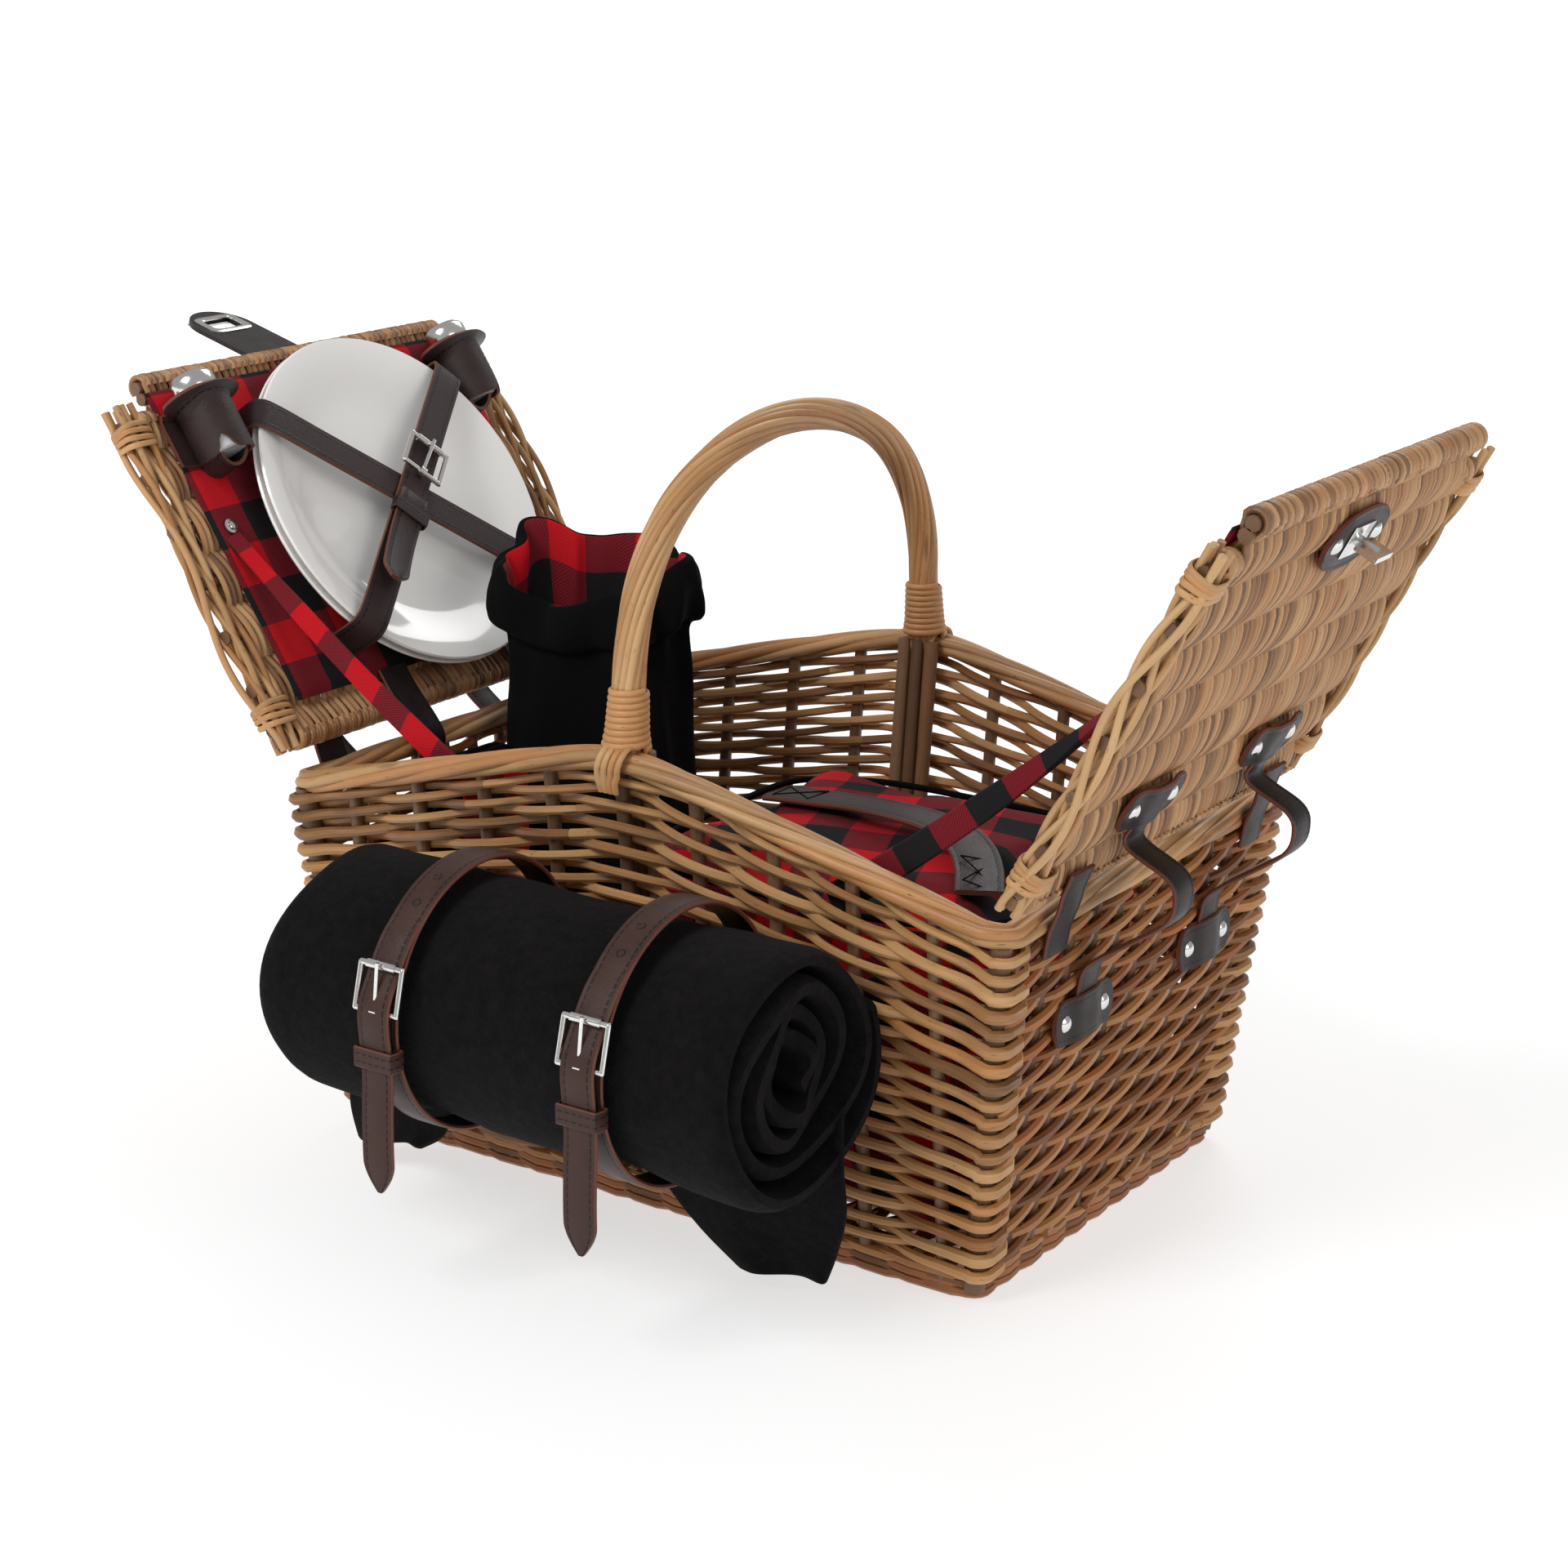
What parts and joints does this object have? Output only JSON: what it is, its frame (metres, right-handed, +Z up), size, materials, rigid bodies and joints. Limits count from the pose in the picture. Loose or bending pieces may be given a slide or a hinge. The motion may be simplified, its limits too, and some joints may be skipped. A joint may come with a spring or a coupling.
{
  "type": "wicker picnic basket",
  "caption": "Willow hamper with lids hinged at both ends, bent carrying handle, strapped plates and shakers, cooler and wine bags, and a rolled blanket buckled to the front.",
  "frame": {"origin": "centre of the base underside", "axes": "+X along the length towards the lid with the turn lock, +Y to the back away from the blanket, +Z up"},
  "size_m": [0.7517, 0.4447, 0.4144],
  "materials": {
    "willow": "satin",
    "willow_dark": "satin",
    "willow_light": "satin",
    "leather_dark": "satin",
    "leather_brown": "satin",
    "leather_grey": "satin",
    "nickel": "polished",
    "plaid": "matte",
    "black_cotton": "matte",
    "fleece": "matte",
    "glaze": "gloss",
    "shaker_body": "gloss",
    "steel": "satin"
  },
  "bodies": {
    "basket": {"base_panel": "willow_dark", "front_wall": "willow", "back_wall": "willow", "left_end_wall": "willow_dark", "right_end_wall": "willow_dark", "wall_stakes": "willow_dark", "rim_sides": "willow_light", "rim_ends": "willow_light", "handle_arch": "willow_light", "handle_wrap_front": "willow_light", "handle_wrap_back": "willow_light", "handle_core_sticks": "willow_dark", "wall_tabs": "leather_dark", "wall_tab_rivets": "nickel", "outer_straps_left": "leather_dark", "outer_straps_right": "leather_dark", "hinge_loops_left": "leather_dark", "hinge_loops_right": "leather_dark", "support_strap_left": "plaid", "support_strap_right": "plaid", "blanket_roll": "fleece", "blanket_straps": "leather_brown", "blanket_buckles": "nickel", "wine_pouch": "black_cotton", "napkins": "plaid"},
    "left_lid": {"left_lid_sticks": "willow_dark", "left_lid_panel": "willow", "left_lid_lashings": "willow_light", "left_lid_lining": "plaid", "left_lid_tabs": "leather_dark", "left_lid_rivets": "nickel", "plate_back": "glaze", "plate_front": "glaze", "plate_straps": "leather_dark", "plate_buckle": "nickel", "shaker_pouches": "leather_dark"},
    "right_lid": {"right_lid_sticks": "willow_dark", "right_lid_panel": "willow", "right_lid_lashings": "willow_light", "right_lid_lining": "plaid", "right_lid_tabs": "leather_dark", "right_lid_rivets": "nickel", "turn_lock_patch": "leather_dark", "cutlery": "steel", "cutlery_strap": "leather_dark"},
    "cooler": {"cooler_bag": "plaid", "cooler_handle": "leather_grey"},
    "salt": {"salt_shaker": "shaker_body", "salt_cap": "nickel"},
    "pepper": {"pepper_shaker": "shaker_body", "pepper_cap": "nickel"},
    "tongue": {"latch_tongue": "leather_dark", "latch_slot_plate": "nickel"},
    "knob": {"turn_lock_knob": "nickel"},
    "prong_left": {"blanket_prong_left": "nickel"},
    "prong_right": {"blanket_prong_right": "nickel"},
    "prong_plates": {"plate_prong": "nickel"}
  },
  "joints": [
    {"name": "left_lid_hinge", "type": "hinge", "parent": "basket", "child": "left_lid", "pos_m": [-0.222, 0, 0.2115], "axis": [0, -1, 0], "range_deg": [-109, 0], "deforming": ["outer_straps_left", "hinge_loops_left", "support_strap_left", "wine_pouch", "napkins"]},
    {"name": "right_lid_hinge", "type": "hinge", "parent": "basket", "child": "right_lid", "pos_m": [0.222, 0, 0.2115], "axis": [0, 1, 0], "range_deg": [-103, 0], "deforming": ["outer_straps_right", "hinge_loops_right", "support_strap_right"]},
    {"name": "cooler_lift", "type": "slide", "parent": "basket", "child": "cooler", "axis": [0, 0, 1], "range_m": [0, 0.12]},
    {"name": "salt_slide", "type": "slide", "parent": "left_lid", "child": "salt", "axis": [-0.5592, 0, 0.829], "range_m": [0, 0.06]},
    {"name": "pepper_slide", "type": "slide", "parent": "left_lid", "child": "pepper", "axis": [-0.5592, 0, 0.829], "range_m": [0, 0.06]},
    {"name": "tongue_flex", "type": "hinge", "parent": "left_lid", "child": "tongue", "pos_m": [-0.35511, 0, 0.39553], "axis": [0, -1, 0], "range_deg": [-54.5, 0]},
    {"name": "knob_turn", "type": "hinge", "parent": "right_lid", "child": "knob", "pos_m": [0.3205, 0, 0.37545], "axis": [0.8829, 0, -0.4695], "range_deg": [0, 90]},
    {"name": "prong_left_pivot", "type": "hinge", "parent": "basket", "child": "prong_left", "pos_m": [-0.04, -0.28778, 0.15056], "axis": [1, 0, 0], "range_deg": [0, 90]},
    {"name": "prong_right_pivot", "type": "hinge", "parent": "basket", "child": "prong_right", "pos_m": [0.082, -0.28778, 0.15056], "axis": [1, 0, 0], "range_deg": [0, 90]},
    {"name": "prong_plates_pivot", "type": "hinge", "parent": "left_lid", "child": "prong_plates", "pos_m": [-0.25826, 0.01073, 0.33661], "axis": [0.4284, 0.6428, -0.6351], "range_deg": [0, 90]}
  ]
}
